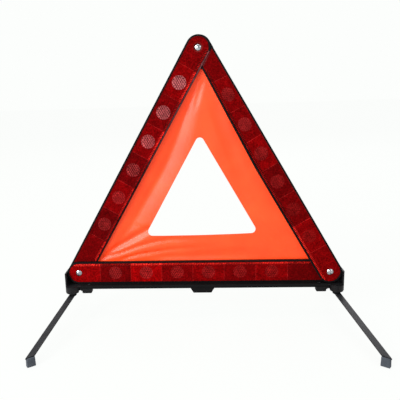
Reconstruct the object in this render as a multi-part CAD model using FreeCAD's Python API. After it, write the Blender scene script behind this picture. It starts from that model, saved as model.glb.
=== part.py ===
import FreeCAD, Part
import math
import os

# Folding warning triangle: three equal reflector arms on a base rail with
# four swing-out legs.  Millimetres, +Z up, front towards -Y.  The origin is
# on the ground at the centre of the four feet.

V = FreeCAD.Vector

# ---------------------------------------------------------------- dimensions
PIVOT = 395.0          # distance between the corner pivots of an arm
ARM_W = 36.0           # width of an arm
ARM_T = 5.0            # thickness of an arm over its lens
RIM = 2.5              # width of the black rim round the lens
RIM_DROP = 0.4         # the rim lies this far behind the lens face
LENS_T = 2.2           # thickness of the reflector lens
LAYER_GAP = 0.8        # free gap between two arms that cross
PIVOT_Z = 70.0         # height of the bottom pivots above the ground
OPEN_ANGLE = 60.0      # angle of the closed triangle

CELL = 49.4            # pitch of the reflector cells
CELL_0 = 34.6          # first cell line, from the arm's front pivot

RIVET_R = 2.35         # corner rivet shank
RIVET_HEAD_R = 4.8
RIVET_HEAD_H = 1.7

RAIL_X = 194.3         # half length of the rail
RAIL_Y0, RAIL_Y1 = -10.0, 10.5
RAIL_TOP = -18.5       # heights below are from the pivot line
RAIL_T = 2.0
RAIL_BOTTOM = -24.0
TAB_TOP_W, TAB_BOTTOM_W, TAB_BOTTOM = 37.5, 28.0, -32.0

WALL_X = 218.6         # outer face of an end bracket
WALL_T = 2.4
BRK_Y0, BRK_Y1 = -11.0, 13.6
BRK_TOP, BRK_BOTTOM = -19.0, -29.5
HUB_R = 10.0

LEG_X, LEG_Y = 208.0, 9.6     # leg pivots
LEG_PLANE = -33.0             # leg's middle plane at its pivot
LEG_LEN = 157.0               # pivot to the bend at the foot
LEG_OUT = 8.4                 # deployed leg turns this far outward (degrees)
LEG_W, LEG_T = 9.0, 1.8
LEG_END_Z = 13.2              # height of the leg's bend above the ground
FOOT_W, FOOT_D, FOOT_H = 12.0, 6.4, 12.4
FOOT_TURN = 36.0              # the foot's broad face looks this far inward

PANEL_T = 0.8
PANEL_UNDER = 5.0             # cloth reaches this far behind the arms
HOLE = [(-89.0, 57.5), (89.0, 60.5), (0.0, 218.0)]   # open triangle in the cloth
HOLE_R = 6.5

TAPER_U = 200.0               # from here the right arm's inner edge draws in
TAPER = 0.043                 # towards its upper end, by this much per millimetre

S60 = math.sin(math.radians(60.0))
T60 = math.tan(math.radians(60.0))
HW = ARM_W / 2.0
LAYER = ARM_T + LAYER_GAP
LEAN = (LAYER / 2.0) / PIVOT   # slope that brings the side arms to half a layer at the top
BL = V(-PIVOT / 2.0, 0, PIVOT_Z)
BR = V(PIVOT / 2.0, 0, PIVOT_Z)
FRONT, BACK = -ARM_T / 2.0, ARM_T / 2.0
RIM_FRONT = FRONT + RIM_DROP
LENS_BACK = FRONT + LENS_T

os.makedirs("parts", exist_ok=True)
NODES = {}


def out(name, shape):
    """Check one sub-part and write it."""
    if shape.ShapeType == "Compound" and len(shape.Solids) == 1:
        shape = shape.Solids[0]
    if not shape.isValid():
        print("INVALID", name)
    NODES[name] = shape
    b = shape.BoundBox
    print("%-22s solids %d vol %9.1f  x %.1f..%.1f y %.1f..%.1f z %.1f..%.1f" % (
        name, len(shape.Solids), shape.Volume, b.XMin, b.XMax, b.YMin, b.YMax, b.ZMin, b.ZMax))
    shape.exportStep("parts/%s.step" % name)


def box(x0, x1, y0, y1, z0, z1):
    return Part.makeBox(x1 - x0, y1 - y0, z1 - z0, V(x0, y0, z0))


def cyl_y(r, y0, y1, x=0.0, z=0.0):
    return Part.makeCylinder(r, y1 - y0, V(x, y0, z), V(0, 1, 0))


def prism_y(points, y0, y1):
    """Prism along Y from (x, z) points."""
    w = Part.makePolygon([V(x, y0, z) for x, z in points] + [V(points[0][0], y0, points[0][1])])
    return Part.Face(w).extrude(V(0, y1 - y0, 0))


def slot_y(r, x0, x1, y0, y1):
    """Plate with two round ends, along X."""
    a, b, c, d = V(x0, y0, r), V(x1, y0, r), V(x1, y0, -r), V(x0, y0, -r)
    w = Part.Wire([Part.LineSegment(a, b).toShape(),
                   Part.Arc(b, V(x1 + r, y0, 0), c).toShape(),
                   Part.LineSegment(c, d).toShape(),
                   Part.Arc(d, V(x0 - r, y0, 0), a).toShape()])
    return Part.Face(w).extrude(V(0, y1 - y0, 0))


def dome_y(r, h, y, sign):
    """Shallow dome of base radius r and height h on the plane y, rising along sign."""
    big = (r * r + h * h) / (2.0 * h)
    ball = Part.makeSphere(big, V(0, y + sign * (h - big), 0))
    lo, hi = (y - h - 1, y) if sign < 0 else (y, y + h + 1)
    return ball.common(cyl_y(r + 1, lo, hi))


def rounded_prism(points, radius, y0, y1):
    """Prism along Y from (x, z) points with every corner rounded."""
    n = len(points)
    edges, ends = [], []
    for i in range(n):
        p0, p, p1 = [V(points[(i + k) % n][0], 0, points[(i + k) % n][1]) for k in (-1, 0, 1)]
        a, b = (p0 - p), (p1 - p)
        a.normalize()
        b.normalize()
        half = math.acos(max(-1.0, min(1.0, a.dot(b)))) / 2.0
        t = radius / math.tan(half)
        m = a + b
        m.normalize()
        c = p + m * (radius / math.sin(half))
        s, e, mid = p + a * t, p + b * t, c - m * radius
        ends.append((s, mid, e))
    for i in range(n):
        s, mid, e = ends[i]
        nxt = ends[(i + 1) % n][0]
        edges.append(Part.Arc(s, mid, e).toShape())
        edges.append(Part.LineSegment(e, nxt).toShape())
    f = Part.Face(Part.Wire(edges))
    f.translate(V(0, y0, 0))
    return f.extrude(V(0, y1 - y0, 0))


# ------------------------------------------------------------- arm, own frame
# Origin at the front pivot, +X along the arm to the back pivot, +Z towards the
# inside of the triangle, the lens faces -Y.

def edge_u(v, shift=0.0):
    """Where the next arm's inner edge crosses this arm at height v."""
    return PIVOT - HW / S60 - v / T60 + shift / S60


def lens_outline(grow, end_shift, y0, y1, taper=0.0):
    r = HW - RIM + grow
    a = V(0, y0, r)
    u = edge_u(r, end_shift)
    for _ in range(20):
        u = edge_u(r - taper * (u - TAPER_U), end_shift)
    b = V(u, y0, r - taper * (u - TAPER_U))
    c = V(edge_u(-r, end_shift), y0, -r)
    d = V(0, y0, -r)
    top = [Part.LineSegment(a, b).toShape()]
    if taper:
        m = V(TAPER_U, y0, r)
        top = [Part.LineSegment(a, m).toShape(), Part.LineSegment(m, b).toShape()]
    w = Part.Wire(top + [Part.LineSegment(b, c).toShape(),
                         Part.LineSegment(c, d).toShape(),
                         Part.Arc(d, V(-r, y0, 0), a).toShape()])
    return Part.Face(w).extrude(V(0, y1 - y0, 0))


def make_housing(end_shift, pocket_low, front_hole, back_hole, taper=0.0):
    h = slot_y(HW, 0, PIVOT, RIM_FRONT, BACK)
    h = h.cut(lens_outline(0.12, end_shift, FRONT - 1, LENS_BACK, taper))
    if taper:
        d = taper * (420 - TAPER_U)
        h = h.cut(prism_y([(TAPER_U, HW), (420, HW - d), (430, HW - d), (430, HW + 5), (TAPER_U, HW + 5)], -9, 9))
    # ribbed back: one shallow pocket behind each reflector cell
    for i in range(7):
        u0 = CELL_0 + i * CELL - CELL + 2.5 + (16.0 if i == 0 else 0.0)
        u1 = CELL_0 + i * CELL - 2.5
        top = min(13.0, HW - max(0.0, taper * (u1 - TAPER_U)) - 4.6)
        p = rounded_prism([(u0, pocket_low), (u1, pocket_low), (u1, top), (u0, top)], 2.0,
                          BACK - 1.1, BACK + 1)
        h = h.cut(p)
    if front_hole:
        h = h.cut(cyl_y(front_hole, -5, 5))
    if back_hole:
        h = h.cut(cyl_y(back_hole, -5, 5, PIVOT))
    return h


def make_lens(end_shift, hole, taper=0.0):
    l = lens_outline(0.0, end_shift, FRONT, LENS_BACK, taper)
    # softly broken front edge
    try:
        es = [e for e in l.Edges if abs(e.BoundBox.YMin - FRONT) < 1e-6 and abs(e.BoundBox.YMax - FRONT) < 1e-6]
        l = l.makeChamfer(0.35, es)
    except Exception as err:
        print("lens edge left sharp", err)
    return l.cut(cyl_y(hole, -5, 5))


def place_bottom(s):
    s = s.copy()
    s.translate(BL)
    return s


L_AXIS_P = V(-PIVOT / 2.0, LAYER, PIVOT_Z)
R_AXIS_P = V(PIVOT / 2.0, -LAYER, PIVOT_Z)
L_AXIS = V(-0.5 * LEAN, 1.0, S60 * LEAN)
R_AXIS = V(0.5 * LEAN, -1.0, S60 * LEAN)


def place_left(s):
    """Lay the arm behind the bottom arm, front pivot at the right, then swing it up."""
    s = s.copy()
    s.rotate(V(0, 0, 0), V(0, 1, 0), 180)
    s.translate(V(PIVOT / 2.0, LAYER, PIVOT_Z))
    s.rotate(L_AXIS_P, L_AXIS, -OPEN_ANGLE)
    return s


def place_right(s):
    """Lay the arm in front of the bottom arm, front pivot at the right, then swing it up."""
    s = s.copy()
    s.rotate(V(0, 0, 0), V(0, 1, 0), 180)
    s.translate(R_AXIS_P)
    s.rotate(R_AXIS_P, R_AXIS, -OPEN_ANGLE)
    return s


# --- bottom arm: fixed; rivet hole at the front, counterbored hole at the back
bottom = make_housing(1.5, -4.0, RIVET_R + 0.1, RIVET_R + 0.1)
bottom = bottom.cut(cyl_y(4.3, 1.1, 3, PIVOT))
SCREWS_U = [PIVOT / 2.0 + d for d in (-130.0, 0.0, 130.0)]
SCREW_Y = 1.1
for u in SCREWS_U:
    bottom = bottom.cut(Part.makeCylinder(1.0, 10.0, V(u, SCREW_Y, -HW - 0.5), V(0, 0, 1)))
out("bottom_arm_housing", place_bottom(bottom))
out("bottom_arm_lens", place_bottom(make_lens(1.4, RIVET_R + 0.1)))

# --- left arm: rests on its back pivot; the snap stud sits at its front pivot
STUD_POCKET = 7.6
left = make_housing(1.5, -13.0, 2.3, RIVET_R + 0.2)
out("left_arm_housing", place_left(left))
out("left_arm_lens", place_left(make_lens(1.4, STUD_POCKET)))
ring = cyl_y(STUD_POCKET - 0.1, FRONT + 0.1, LENS_BACK).cut(cyl_y(5.1, -5, 5))
ring = ring.cut(Part.makeCone(6.6, 5.0, 1.3, V(0, FRONT, 0), V(0, 1, 0)))
out("top_stud_ring", place_left(ring))
stud = dome_y(4.7, 1.5, -0.9, -1).fuse(cyl_y(4.7, -0.9, LENS_BACK))
stud = stud.fuse(cyl_y(2.2, LENS_BACK - 0.1, 4.25)).fuse(cyl_y(2.8, 4.2, 4.9))
stud = stud.fuse(Part.makeCone(2.8, 1.7, 0.5, V(0, 4.9, 0), V(0, 1, 0))).removeSplitter()
out("top_snap_stud", place_left(stud))

# --- right arm: front pivot at the bottom; its upper end stops at the left arm
right = make_housing(-1.9, -13.0, RIVET_R + 0.2, 0, TAPER)
keep_off = slot_y(HW + 1.5, 0, PIVOT, -6, 6)     # the left arm's outline in its own plane
# the left arm's front pivot is this arm's back pivot; it runs off at 60 degrees inside
keep_off.rotate(V(0, 0, 0), V(0, 1, 0), -120)
keep_off.translate(V(PIVOT, 0, 0))
right = right.cut(keep_off)
lug_seat = rounded_prism([(338, -12.6), (398, -12.6), (398, 6.6), (338, 6.6)], 2.0, BACK - 1.2, BACK + 1)
right = right.cut(lug_seat)
right = max(right.Solids, key=lambda s: s.Volume)
out("right_arm_housing", place_right(right))
out("right_arm_lens", place_right(make_lens(-2.0, RIVET_R + 0.2, TAPER)))

# the springy lug: seated in the back of the right arm, cranked round the left
# arm's inner edge and spread out behind its tip
LUG_Y0, LUG_Y1 = BACK + LAYER + 0.45, BACK + LAYER + 1.55
seat = prism_y([(340.3, -12.3), (edge_u(-12.3, -0.45), -12.3), (edge_u(6.3, -0.45), 6.3), (340.3, 6.3),
                (338.3, 4.3), (338.3, -10.3)], BACK - 1.1, BACK)
wall = prism_y([(edge_u(-8.0, -1.4), -8.0), (edge_u(-8.0, -0.45), -8.0),
                (edge_u(6.3, -0.45), 6.3), (edge_u(6.3, -1.4), 6.3)], BACK - 1.1, LUG_Y1)
tip = slot_y(17.5, 300, PIVOT, LUG_Y0, LUG_Y1)
tip.translate(V(0, 0, -1.5))       # stands out a little past the left arm's round tip
tip = tip.cut(prism_y([(250, -40), (edge_u(-40, -1.4), -40), (edge_u(40, -1.4), 40), (250, 40)], 0, 20))
tip = tip.cut(prism_y([(340, 12.3), (460, 12.3), (460, 30), (340, 30)], 0, 20).common(
    prism_y([(340, 12.3), (380, 12.3), (380, 30), (340, 30)], 0, 20)))
lug = seat.fuse(wall).fuse(tip)
lug = lug.cut(cyl_y(2.5, -2, 20, PIVOT)).removeSplitter()
# the seat stays clear of the left arm's round end
clear = slot_y(HW + 0.4, 0, PIVOT, BACK - 2, LUG_Y0 - 0.4)
clear.rotate(V(0, 0, 0), V(0, 1, 0), -120)
clear.translate(V(PIVOT, 0, 0))
lug = lug.cut(clear)
out("right_arm_snap_lug", place_right(lug))

# ------------------------------------------------------------- corner pivots
left_rivet = dome_y(RIVET_HEAD_R, RIVET_HEAD_H, FRONT - 0.35, -1)
left_rivet = left_rivet.fuse(cyl_y(RIVET_HEAD_R, FRONT - 0.35, FRONT))
left_rivet = left_rivet.fuse(cyl_y(RIVET_R, FRONT - 0.1, LAYER + BACK + 0.9))
left_rivet = left_rivet.fuse(dome_y(4.0, 1.2, LAYER + BACK + 0.8, 1)).removeSplitter()
left_rivet.translate(BL)
out("left_corner_rivet", left_rivet)
lw = cyl_y(5.6, BACK, BACK + 0.85).cut(cyl_y(RIVET_R + 0.05, 0, 9))
lw.translate(BL)
out("left_corner_washer", lw)
lb = cyl_y(5.6, LAYER + BACK + 0.2, LAYER + BACK + 0.8).cut(cyl_y(RIVET_R + 0.05, 0, 12))
lb.translate(BL)
out("left_corner_burr", lb)

yr = -LAYER + FRONT
right_rivet = dome_y(RIVET_HEAD_R, RIVET_HEAD_H, yr - 0.5, -1)
right_rivet = right_rivet.fuse(cyl_y(RIVET_HEAD_R, yr - 0.5, yr - 0.15))
right_rivet = right_rivet.fuse(cyl_y(RIVET_R, yr - 0.2, 1.3)).fuse(cyl_y(4.0, 1.1, 2.35)).removeSplitter()
right_rivet.translate(BR)
out("right_corner_rivet", right_rivet)
rw = cyl_y(5.6, -3.0, RIM_FRONT).cut(cyl_y(RIVET_R + 0.05, -9, 9))
rw.translate(BR)
out("right_corner_washer", rw)

# ---------------------------------------------------------------- base rail
Z = PIVOT_Z
rail = box(-RAIL_X, RAIL_X, RAIL_Y0, RAIL_Y1, Z + RAIL_TOP - RAIL_T, Z + RAIL_TOP)
for y0, y1 in ((RAIL_Y0, RAIL_Y0 + RAIL_T), (RAIL_Y1 - RAIL_T, RAIL_Y1)):
    rail = rail.fuse(box(-RAIL_X, RAIL_X, y0, y1, Z + RAIL_BOTTOM, Z + RAIL_TOP - 0.5))
    tab = rounded_prism([(-TAB_TOP_W / 2 - 0.9, Z + RAIL_BOTTOM + 1.2), (TAB_TOP_W / 2 + 0.9, Z + RAIL_BOTTOM + 1.2),
                         (TAB_BOTTOM_W / 2, Z + TAB_BOTTOM), (-TAB_BOTTOM_W / 2, Z + TAB_BOTTOM)], 0.8, y0, y1)
    rail = rail.fuse(tab)
# bead along the lower edge of the front and back flange
rail = rail.fuse(box(-RAIL_X, RAIL_X, RAIL_Y0 - 0.8, RAIL_Y0 + 0.1, Z + RAIL_BOTTOM, Z + RAIL_BOTTOM + 1.2))
rail = rail.fuse(box(-RAIL_X, RAIL_X, RAIL_Y1 - 0.1, RAIL_Y1 + 0.8, Z + RAIL_BOTTOM, Z + RAIL_BOTTOM + 1.2))
# the bottom arm stands on this ridge
rail = rail.fuse(box(-180, 180, FRONT + 0.3, BACK, Z + RAIL_TOP - 0.1, Z - HW))
for u in SCREWS_U:
    rail = rail.cut(Part.makeCylinder(1.25, 8, V(u - PIVOT / 2.0, SCREW_Y, Z + RAIL_TOP - 4), V(0, 0, 1)))
BSCREW_X = (182.0, 190.0)
for sx in (-1, 1):
    for bx in BSCREW_X[:1]:
        for by in (-5.0, 5.6):
            rail = rail.cut(Part.makeCylinder(1.3, 6, V(sx * bx, by, Z + RAIL_TOP - 4), V(0, 0, 1)))
            rail = rail.cut(Part.makeCylinder(2.5, 2, V(sx * bx, by, Z + RAIL_TOP - 0.9), V(0, 0, 1)))
rail = rail.removeSplitter()
out("base_rail", rail)

screws = []
for u in SCREWS_U:
    x = u - PIVOT / 2.0
    head = Part.makeCylinder(2.3, 1.4, V(x, SCREW_Y, Z + RAIL_TOP - RAIL_T - 1.4), V(0, 0, 1))
    head = head.cut(box(x - 0.3, x + 0.3, SCREW_Y - 1.6, SCREW_Y + 1.6, Z + RAIL_TOP - RAIL_T - 1.5, Z + RAIL_TOP - RAIL_T - 0.8))
    shank = Part.makeCylinder(0.98, 10.6, V(x, SCREW_Y, Z + RAIL_TOP - RAIL_T - 0.1), V(0, 0, 1))
    screws.append(head.fuse(shank).removeSplitter())
out("rail_screws", Part.makeCompound(screws))

# -------------------------------------------------------------- leg geometry
LEG_DROP = (PIVOT_Z + LEG_PLANE - LEG_END_Z) / LEG_LEN / math.cos(math.radians(LEG_OUT))
LEG_TILT = math.degrees(math.asin(LEG_DROP))


def leg_frame(sx, sy):
    """Pivot point, hinge axis (up), deployed direction and side direction of a leg."""
    t, o = math.radians(LEG_TILT), math.radians(LEG_OUT)
    p = V(sx * LEG_X, sy * LEG_Y, PIVOT_Z + LEG_PLANE)
    a = V(0, sy * math.sin(t), math.cos(t))
    down = V(0, sy * math.cos(t), -math.sin(t))
    d = V(sx * math.sin(o), 0, 0) + down * math.cos(o)
    return p, a, d, a.cross(d)


def along(shape, p, a, d, s):
    """Move a shape built with X along d, Y along s and Z along a to the point p."""
    m = FreeCAD.Matrix(d.x, s.x, a.x, p.x, d.y, s.y, a.y, p.y, d.z, s.z, a.z, p.z, 0, 0, 0, 1)
    q = shape.copy()
    q.Placement = FreeCAD.Placement(m).multiply(q.Placement)
    return q


def make_bracket(sx):
    """Left bracket for sx = -1; the right one is its mirror image."""
    b = box(-WALL_X, -WALL_X + WALL_T, BRK_Y0, BRK_Y1, Z + BRK_BOTTOM, Z + 2.0)
    # back plate with a sloping top
    bp = prism_y([(-WALL_X, Z + BRK_BOTTOM), (-186.0, Z + BRK_BOTTOM + 6), (-186.0, Z - 12.0), (-192.0, Z - 4.0),
                  (-199.0, Z + 2.0), (-WALL_X, Z + 2.0)], BRK_Y1 - 1.8, BRK_Y1)
    b = b.fuse(bp)
    b = b.fuse(box(-WALL_X, -RAIL_X, BRK_Y0, BRK_Y1, Z + BRK_BOTTOM + 1.5, Z + BRK_TOP))
    # dark recess between hub and rail
    b = b.cut(box(-197.8, -190.0, BRK_Y0 - 1, BRK_Y0 + 4.5, Z + BRK_BOTTOM - 1, Z + BRK_TOP - 1.6))
    # hubs of the two legs
    for sy in (-1, 1):
        b = b.fuse(Part.makeCylinder(HUB_R, BRK_TOP - BRK_BOTTOM - 0.6, V(-LEG_X, sy * LEG_Y, Z + BRK_BOTTOM), V(0, 0, 1)))
        b = b.fuse(Part.makeCylinder(HUB_R - 2.0, 0.6, V(-LEG_X, sy * LEG_Y, Z + BRK_TOP - 0.6), V(0, 0, 1)))
    b = b.cut(box(-WALL_X - 5, -WALL_X, -30, 30, 0, Z + 20))
    # hollow underside between the hubs
    b = b.cut(box(-WALL_X + WALL_T, -197.5, -1.4, 1.4, Z + BRK_BOTTOM - 1, Z + BRK_TOP - 2.4))
    # tongue inside the rail
    tongue = box(-RAIL_X - 0.2, -177.0, RAIL_Y0 + RAIL_T + 0.15, RAIL_Y1 - RAIL_T - 0.15, Z - 28.6, Z + RAIL_TOP - RAIL_T)
    tongue = tongue.cut(box(-191.5, -179.5, RAIL_Y0 + RAIL_T + 2.2, RAIL_Y1 - RAIL_T - 2.2, Z - 30, Z - 25.0))
    b = b.fuse(tongue)
    # stop block under the tongue, between the stowed legs
    b = b.fuse(prism_y([(-193.6, Z - 28.0), (-178.0, Z - 28.0), (-178.0, Z - 32.6), (-179.2, Z - 33.8),
                        (-192.4, Z - 33.8), (-193.6, Z - 32.6)], -4.4, 4.4).cut(
        box(-191.4, -180.2, -2.4, 2.4, Z - 35.0, Z - 30.0)))
    for by in (-5.0, 5.6):
        b = b.cut(Part.makeCylinder(1.1, 3.8, V(-BSCREW_X[0], by, Z + RAIL_TOP - RAIL_T - 3.6), V(0, 0, 1)))
    # tilted bosses that carry the legs
    for sy in (-1, 1):
        p, a, d, s = leg_frame(-1, sy)
        b = b.fuse(along(Part.makeCylinder(4.6, 5.4, V(0, 0, LEG_T / 2 + 0.3), V(0, 0, 1)), p, a, d, s))
    for sy in (-1, 1):
        p, a, d, s = leg_frame(-1, sy)
        b = b.cut(along(Part.makeCylinder(2.0, 11.0, V(0, 0, -1), V(0, 0, 1)), p, a, d, s))
    b = b.removeSplitter()
    if sx > 0:
        b = b.mirror(V(0, 0, 0), V(1, 0, 0))
    return b


out("left_end_bracket", make_bracket(-1))
out("right_end_bracket", make_bracket(1))

bs = []
for sx in (-1, 1):
    for by in (-5.0, 5.6):
        x = sx * BSCREW_X[0]
        zt = Z + RAIL_TOP - 0.15
        s = Part.makeCone(1.2, 2.4, 0.75, V(x, by, zt - 0.75), V(0, 0, 1))
        s = s.fuse(Part.makeCylinder(1.08, 4.6, V(x, by, zt - 0.75 - 4.5), V(0, 0, 1)))
        s = s.cut(box(x - 1.5, x + 1.5, by - 0.25, by + 0.25, zt - 0.4, zt + 1))
        bs.append(s.removeSplitter())
out("bracket_screws", Part.makeCompound(bs))

# ----------------------------------------------------------------- the legs
rivets, washers = [], []
for name, sx, sy in (("front_left", -1, -1), ("front_right", 1, -1), ("rear_left", -1, 1), ("rear_right", 1, 1)):
    p, a, d, s = leg_frame(sx, sy)
    end = p + d * LEG_LEN
    # flat strip in the leg's own plane, round at the pivot
    strip = Part.makeBox(LEG_LEN + 6.0, LEG_W, LEG_T, V(0, -LEG_W / 2, -LEG_T / 2))
    strip = strip.fuse(Part.makeCylinder(6.0, LEG_T, V(0, 0, -LEG_T / 2), V(0, 0, 1)))
    # long shallow stiffening groove pressed in the upper face
    strip = strip.cut(Part.makeCylinder(2.1, LEG_T + 2, V(0, 0, -LEG_T), V(0, 0, 1)))
    strip = along(strip, p, a, d, s)
    # the foot's frame: broad face turned inward
    f = math.radians(FOOT_TURN)
    n = V(-sx * math.sin(f), sy * math.cos(f), 0)      # outward normal of the broad face
    w = V(n.y, -n.x, 0)
    c = V(end.x, end.y, 0)
    # trim the strip at the bend line and add the bent-down end
    trim = Part.makeBox(60, 60, 60, V(LEG_T / 2, -30, -30))
    up = V(0, 0, 1)
    trim = along(trim, V(c.x, c.y, LEG_END_Z), up, n, up.cross(n))
    strip = strip.cut(trim)
    bent = Part.makeBox(LEG_T, 8.4, LEG_END_Z - 2.0 + 0.4, V(-LEG_T / 2, -4.2, 2.0 - LEG_END_Z))
    bent = along(bent, V(c.x, c.y, LEG_END_Z), up, n, up.cross(n))
    leg = strip.fuse(bent).removeSplitter()
    out(name + "_leg", leg)
    # rubber cap, slightly tapered, with a blind slot for the bent end
    lo = Part.makePolygon([V(x, y, 0) for x, y in ((-FOOT_D / 2, -FOOT_W / 2), (FOOT_D / 2, -FOOT_W / 2),
                                                   (FOOT_D / 2, FOOT_W / 2), (-FOOT_D / 2, FOOT_W / 2),
                                                   (-FOOT_D / 2, -FOOT_W / 2))])
    k = 0.35
    hi = Part.makePolygon([V(x, y, FOOT_H) for x, y in ((-FOOT_D / 2 + k, -FOOT_W / 2 + k), (FOOT_D / 2 - k, -FOOT_W / 2 + k),
                                                        (FOOT_D / 2 - k, FOOT_W / 2 - k), (-FOOT_D / 2 + k, FOOT_W / 2 - k),
                                                        (-FOOT_D / 2 + k, -FOOT_W / 2 + k))])
    foot = Part.makeLoft([lo, hi], True, True)
    try:
        foot = foot.makeFillet(0.9, [e for e in foot.Edges if abs(e.Vertexes[0].Z - e.Vertexes[1].Z) > 5])
        foot = foot.makeChamfer(0.5, [e for e in foot.Edges if e.BoundBox.ZMax < 1e-6])
    except Exception as err:
        print("foot edges", err)
    foot = along(foot, c, up, n, up.cross(n))
    foot = foot.cut(leg)
    foot = max(foot.Solids, key=lambda q: q.Volume)
    out(name + "_foot", foot)
    # rivet from below through washer, leg and boss
    rv = Part.makeCylinder(1.97, 10.9, V(0, 0, -1.6), V(0, 0, 1))
    rv = rv.fuse(Part.makeCylinder(4.2, 0.5, V(0, 0, -2.1), V(0, 0, 1)))
    big = (4.2 * 4.2 + 1.1 * 1.1) / 2.2
    cap = Part.makeSphere(big, V(0, 0, -2.1 - 1.1 + big)).common(Part.makeCylinder(5, 3, V(0, 0, -5.1), V(0, 0, 1)))
    rv = rv.fuse(cap).removeSplitter()
    rivets.append(along(rv, p, a, d, s))
    ws = Part.makeCylinder(4.6, 0.5, V(0, 0, -1.6), V(0, 0, 1)).cut(Part.makeCylinder(2.0, 2, V(0, 0, -2.5), V(0, 0, 1)))
    washers.append(along(ws, p, a, d, s))
    print("JOINT", name, "pos_m", [round(q / 1000.0, 6) for q in (p.x, p.y, p.z)],
          "axis", [round(q, 6) for q in (a.x, a.y, a.z)], "stow", sx * sy * (90.0 + LEG_OUT))
out("leg_pivot_rivets", Part.makeCompound(rivets))
out("leg_pivot_washers", Part.makeCompound(washers))

# -------------------------------------------------------------- cloth panel
inset = HW - PANEL_UNDER
side = PIVOT - 2 * inset * T60


def right_uv(u, v):
    """A point of the right arm's own frame, seen from the front: x, and z from the pivots."""
    return (PIVOT / 2.0 - 0.5 * u - S60 * v, S60 * u - 0.5 * v)


def left_uv(u, v):
    return (-0.5 * u + S60 * v, PIVOT * S60 - S60 * u - 0.5 * v)


top_z = 318.0
ul = (PIVOT * S60 - 0.5 * inset - top_z) / S60
ur = (top_z + 0.5 * (inset + TAPER * TAPER_U)) / (S60 + 0.5 * TAPER)
panel = rounded_prism([(-side / 2, inset), (side / 2, inset), right_uv(TAPER_U, inset),
                       right_uv(ur, inset - TAPER * (ur - TAPER_U)), left_uv(ul, inset)], 1.5, 0, PANEL_T)
print("panel corners", right_uv(TAPER_U, inset), right_uv(ur, inset - TAPER * (ur - TAPER_U)), left_uv(ul, inset))
hole = rounded_prism(HOLE, HOLE_R, -1, 2)
panel = panel.cut(hole)
panel.translate(V(0, -PANEL_T / 2, 0))
panel.rotate(V(0, 0, 0), V(0, 0, 1), -math.degrees(0.0147))
panel.rotate(V(0, 0, 0), V(1, 0, 0), -math.degrees(0.0047))
panel.translate(V(0, 6.5, PIVOT_Z))
out("fluorescent_panel", panel)

print("JOINT left_arm pos", tuple(L_AXIS_P), "axis", tuple(L_AXIS), "range 0..60")
print("JOINT right_arm pos", tuple(R_AXIS_P), "axis", tuple(R_AXIS), "range 0..60")
print("leg tilt", LEG_TILT)
allb = FreeCAD.BoundBox()
for s in NODES.values():
    allb.add(s.BoundBox)
print("whole", allb)
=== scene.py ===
import math

import bpy
import numpy as np
from mathutils import Matrix, Vector
from mathutils.geometry import delaunay_2d_cdt


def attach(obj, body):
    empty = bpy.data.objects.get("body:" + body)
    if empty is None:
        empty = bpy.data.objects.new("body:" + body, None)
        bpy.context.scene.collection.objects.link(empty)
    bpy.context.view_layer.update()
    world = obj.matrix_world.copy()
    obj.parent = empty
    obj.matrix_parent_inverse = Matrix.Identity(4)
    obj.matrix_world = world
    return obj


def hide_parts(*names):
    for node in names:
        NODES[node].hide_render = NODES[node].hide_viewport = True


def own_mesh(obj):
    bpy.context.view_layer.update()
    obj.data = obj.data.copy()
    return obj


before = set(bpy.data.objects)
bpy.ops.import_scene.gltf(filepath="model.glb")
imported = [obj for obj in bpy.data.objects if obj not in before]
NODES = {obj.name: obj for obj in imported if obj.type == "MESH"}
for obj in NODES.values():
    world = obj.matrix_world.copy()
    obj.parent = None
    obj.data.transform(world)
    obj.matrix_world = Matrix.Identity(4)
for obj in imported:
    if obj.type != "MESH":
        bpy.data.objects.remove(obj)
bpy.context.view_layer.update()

scene = bpy.context.scene

# ------------------------------------------------------------------ measures
# The same numbers as the CAD, here in millimetres; MM turns them into metres.
MM = 0.001
PIVOT, HW, RIM = 395.0, 18.0, 2.5
FRONT, LENS_BACK = -2.5, -0.3
LAYER, PIVOT_Z = 5.8, 70.0
CELL, CELL_START = 49.4, {"bottom": 34.6, "left": 32.0, "right": 42.0}
S60, T60 = math.sin(math.radians(60)), math.tan(math.radians(60))
LEAN = 2.9 / PIVOT
LENS_R = HW - RIM
TAPER_U, TAPER = 200.0, 0.043     # the right arm's inner side draws in from here up

ARMS = {
    "bottom": {"o": (-PIVOT / 2, 0, PIVOT_Z), "u": (1, 0, 0), "v": (0, 0, 1), "n": (0, 1, 0)},
    "left": {"o": (0, LAYER / 2, PIVOT_Z + PIVOT * S60), "u": (-0.5, LEAN, -S60), "v": (S60, 0, -0.5), "n": (0.5 * LEAN, 1, S60 * LEAN)},
    "right": {"o": (PIVOT / 2, -LAYER, PIVOT_Z), "u": (-0.5, LEAN, S60), "v": (-S60, 0, -0.5), "n": (0.5 * LEAN, 1, -S60 * LEAN)},
}


def place(arm, u, v, w):
    """A point of an arm's own frame (along, inward, depth), in the row frame, metres."""
    f = ARMS[arm]
    return tuple((f["o"][i] + u * f["u"][i] + v * f["v"][i] + w * f["n"][i]) * MM for i in range(3))


def edge_u(v, shift=0.0):
    return PIVOT - HW / S60 - v / T60 + shift / S60


def draw_in(u, v, shift):
    """The right arm's own narrowing: a point of a parallel arm moved onto the drawn-in one."""
    if u <= TAPER_U:
        return u, v
    t = (u - TAPER_U) / (edge_u(v, shift) - TAPER_U)
    uu, vv = u, v
    for _ in range(14):
        vv = -LENS_R + (v + LENS_R) * (1 - TAPER * (uu - TAPER_U) / (2 * LENS_R))
        uu = TAPER_U + t * (edge_u(vv, shift) - TAPER_U)
    return uu, vv


# ----------------------------------------------------------------- materials
def srgb(r, g, b):
    def lin(c):
        c /= 255.0
        return c / 12.92 if c <= 0.04045 else ((c + 0.055) / 1.055) ** 2.4
    return (lin(r), lin(g), lin(b), 1.0)


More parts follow.
